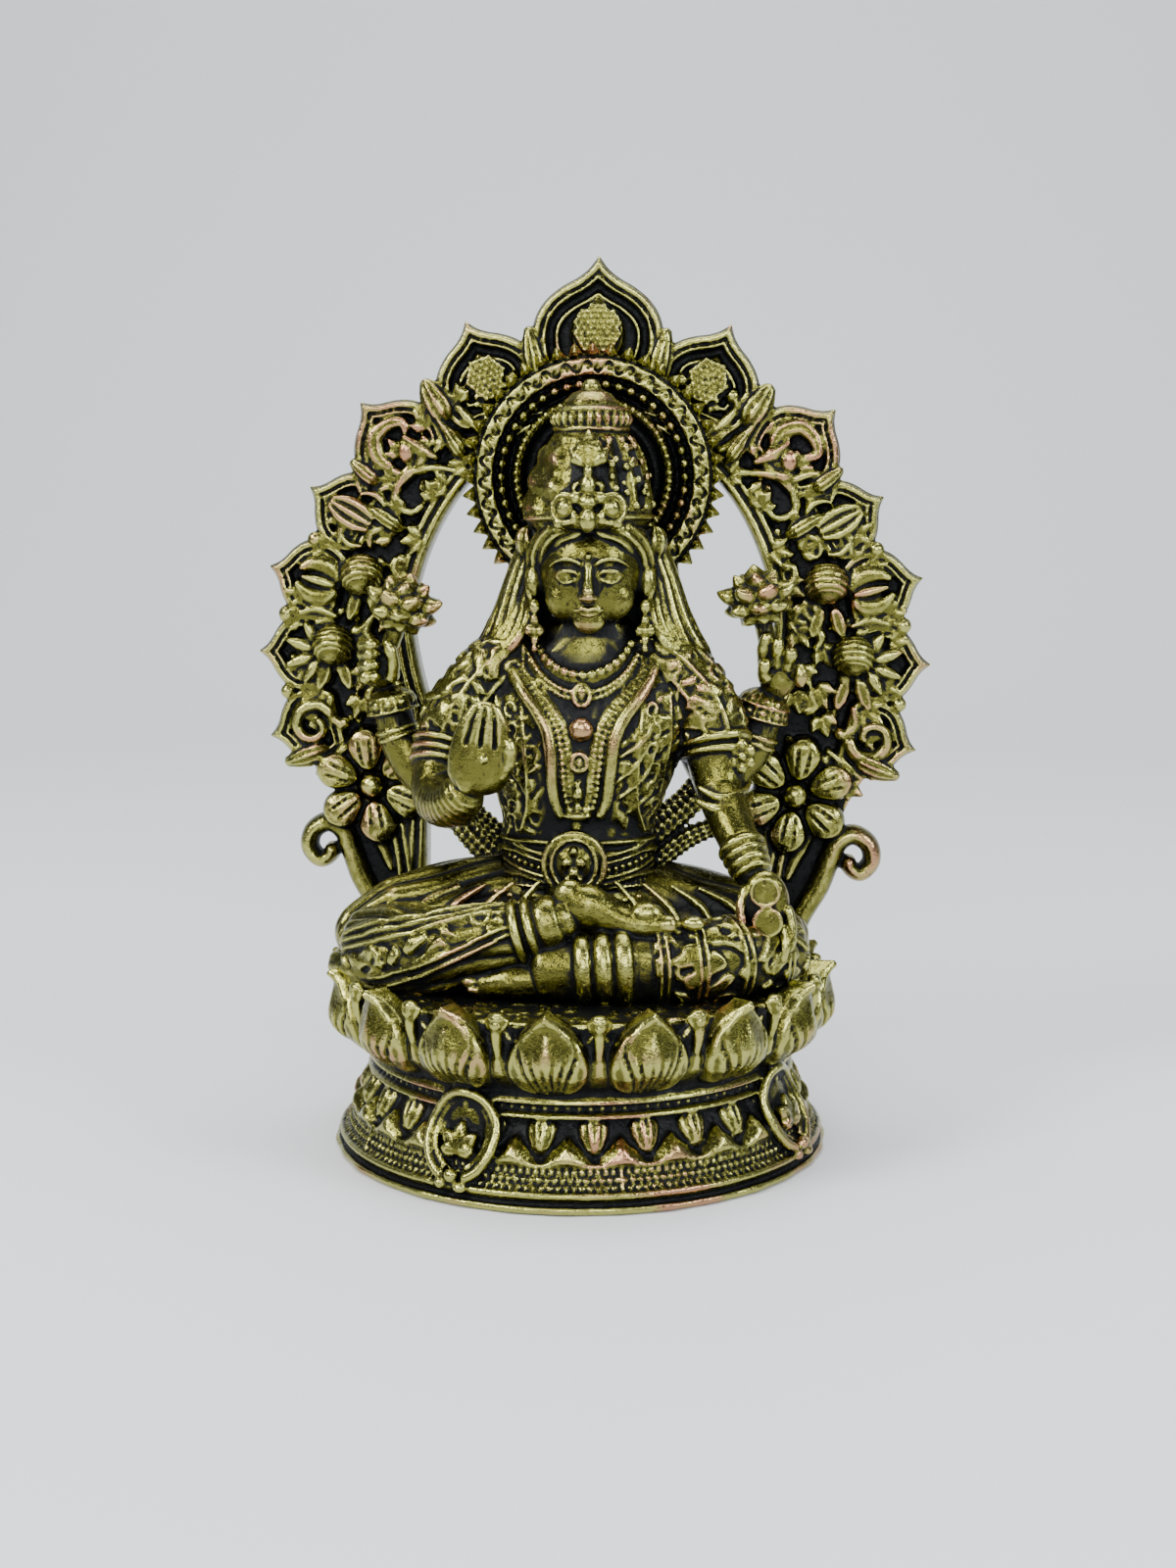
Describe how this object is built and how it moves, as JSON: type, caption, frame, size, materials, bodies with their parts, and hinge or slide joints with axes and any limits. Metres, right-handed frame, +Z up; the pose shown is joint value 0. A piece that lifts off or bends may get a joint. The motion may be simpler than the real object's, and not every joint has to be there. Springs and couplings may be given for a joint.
{
  "type": "lakshmi figure",
  "caption": "Small cast brass figure of a seated four-armed goddess on a lotus plinth, with a toothed halo and a leafy arch behind her.",
  "frame": {"origin": "middle of the plinth's flat underside", "axes": "+Z up to the tip of the arch, -Y towards the front of the figure, +X to a viewer's right"},
  "size_m": [0.0588, 0.0428, 0.0747],
  "materials": {
    "brass": "antique cast brass, dark in the hollows and polished on the high places"
  },
  "bodies": {
    "root": {"lakshmi_figure": "brass"}
  },
  "joints": []
}
